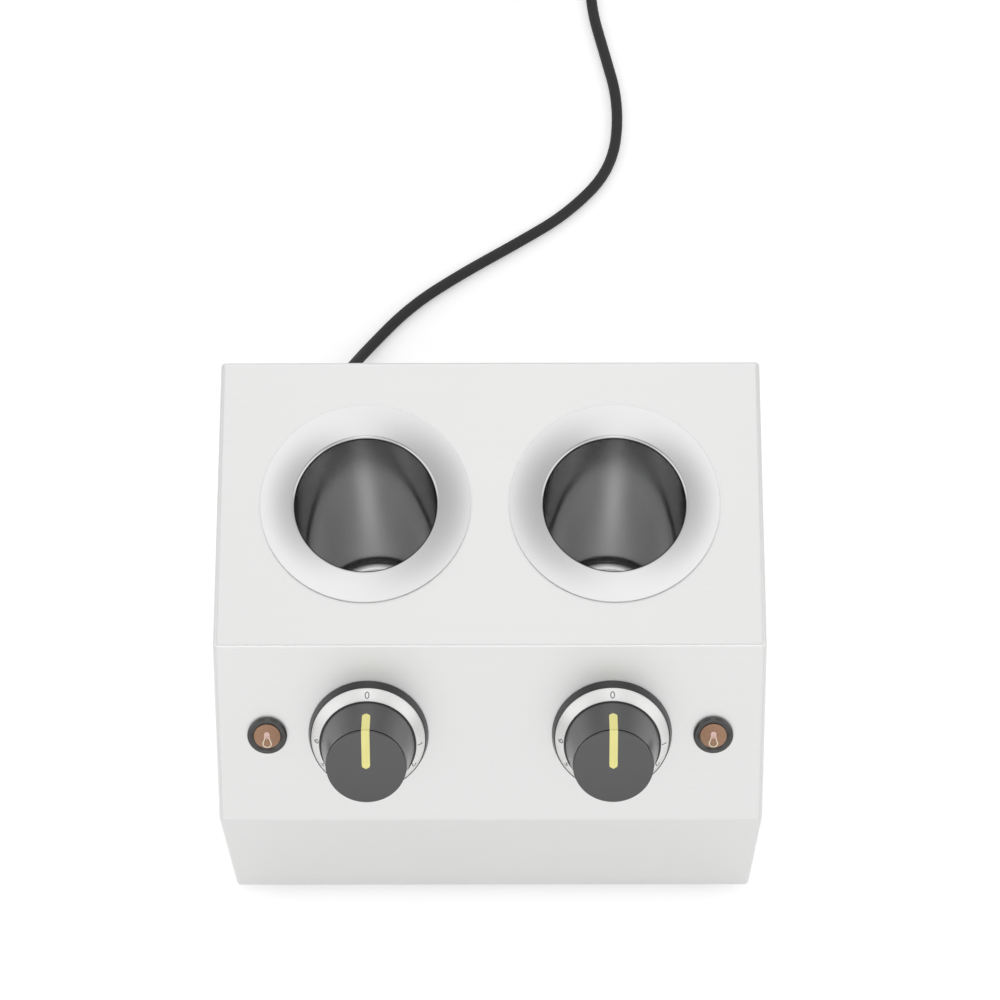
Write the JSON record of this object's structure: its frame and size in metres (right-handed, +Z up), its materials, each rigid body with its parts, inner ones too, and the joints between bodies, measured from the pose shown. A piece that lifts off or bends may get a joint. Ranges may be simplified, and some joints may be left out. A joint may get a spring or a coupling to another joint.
{
  "type": "topping warmer",
  "caption": "Countertop warmer with wells for sauce bottles, a sloped control panel with thermostat knobs and pilot lamps, and a mains lead.",
  "frame": {"origin": "on the surface that the feet stand on, under the middle of the warmer without its lead", "axes": "+Z up, +Y towards the back wall with the lead, +X to the right as the control panel is read"},
  "size_m": [0.283, 0.6899, 0.2107],
  "materials": {
    "stainless": "satin brushed stainless sheet",
    "drawn_steel": "deep drawn stainless, fine spun marks",
    "silicone": "grey silicone",
    "zinc_steel": "bright zinc plated steel",
    "heater_sheath": "aluminised steel sheath",
    "glass_fibre": "woven glass fibre jacket",
    "grey_plastic": "dark grey moulded plastic, fine grain",
    "lime_inlay": "lime yellow printed inlay",
    "black_plastic": "black moulded plastic",
    "dial_silver": "satin silver dial with dark printed marks",
    "amber_lens": "amber translucent prismatic lens",
    "lamp_body": "dark lamp body",
    "thermostat_case": "brown phenolic moulding with steel face",
    "copper": "copper capillary",
    "foot_rubber": "black rubber",
    "ceramic_block": "white steatite",
    "brass": "plain brass",
    "cord_sheath": "matt dark grey mains sheath",
    "gland_nylon": "black nylon",
    "plug_vinyl": "moulded dark vinyl",
    "pin_nickel": "nickel plated brass"
  },
  "bodies": {
    "warmer": {"base_plate": "stainless", "base_screws": "zinc_steel", "bulb_clips": "zinc_steel", "clamp_nuts": "zinc_steel", "clamp_screws": "zinc_steel", "cord_coil": "cord_sheath", "cord_gland": "gland_nylon", "earth_nut": "brass", "earth_stud": "brass", "foot_front_left": "foot_rubber", "foot_front_right": "foot_rubber", "foot_nuts": "zinc_steel", "foot_rear_left": "foot_rubber", "foot_rear_right": "foot_rubber", "foot_screws": "zinc_steel", "gland_nut": "gland_nylon", "heater_nuts": "zinc_steel", "heater_screws": "zinc_steel", "housing": "stainless", "lamp_clips": "zinc_steel", "lead_cores": "cord_sheath", "left_bezel": "black_plastic", "left_capillary": "copper", "left_cutout": "black_plastic", "left_dial": "dial_silver", "left_heater_band": "heater_sheath", "left_insulation": "glass_fibre", "left_lamp": "lamp_body", "left_lens": "amber_lens", "left_thermostat": "thermostat_case", "left_well": "drawn_steel", "left_well_clamp": "stainless", "left_well_seal": "silicone", "plug": "plug_vinyl", "plug_pins": "pin_nickel", "power_cord": "cord_sheath", "right_bezel": "black_plastic", "right_capillary": "copper", "right_cutout": "black_plastic", "right_dial": "dial_silver", "right_heater_band": "heater_sheath", "right_insulation": "glass_fibre", "right_lamp": "lamp_body", "right_lens": "amber_lens", "right_thermostat": "thermostat_case", "right_well": "drawn_steel", "right_well_clamp": "stainless", "right_well_seal": "silicone", "supply_lead": "cord_sheath", "terminal_block": "ceramic_block", "terminal_clamps": "brass", "thermostat_screws": "zinc_steel"},
    "left_knob": {"left_knob": "grey_plastic", "left_pointer": "lime_inlay", "left_knob_clip": "zinc_steel", "left_shaft": "zinc_steel"},
    "right_knob": {"right_knob": "grey_plastic", "right_pointer": "lime_inlay", "right_knob_clip": "zinc_steel", "right_shaft": "zinc_steel"}
  },
  "joints": [
    {"name": "left_knob_turn", "type": "hinge", "parent": "warmer", "child": "left_knob", "pos_m": [-0.06275, -0.07692, 0.17156], "axis": [0, 0.7071, -0.7071], "range_deg": [0, 270]},
    {"name": "right_knob_turn", "type": "hinge", "parent": "warmer", "child": "right_knob", "pos_m": [0.06275, -0.07692, 0.17156], "axis": [0, 0.7071, -0.7071], "range_deg": [0, 270]}
  ]
}
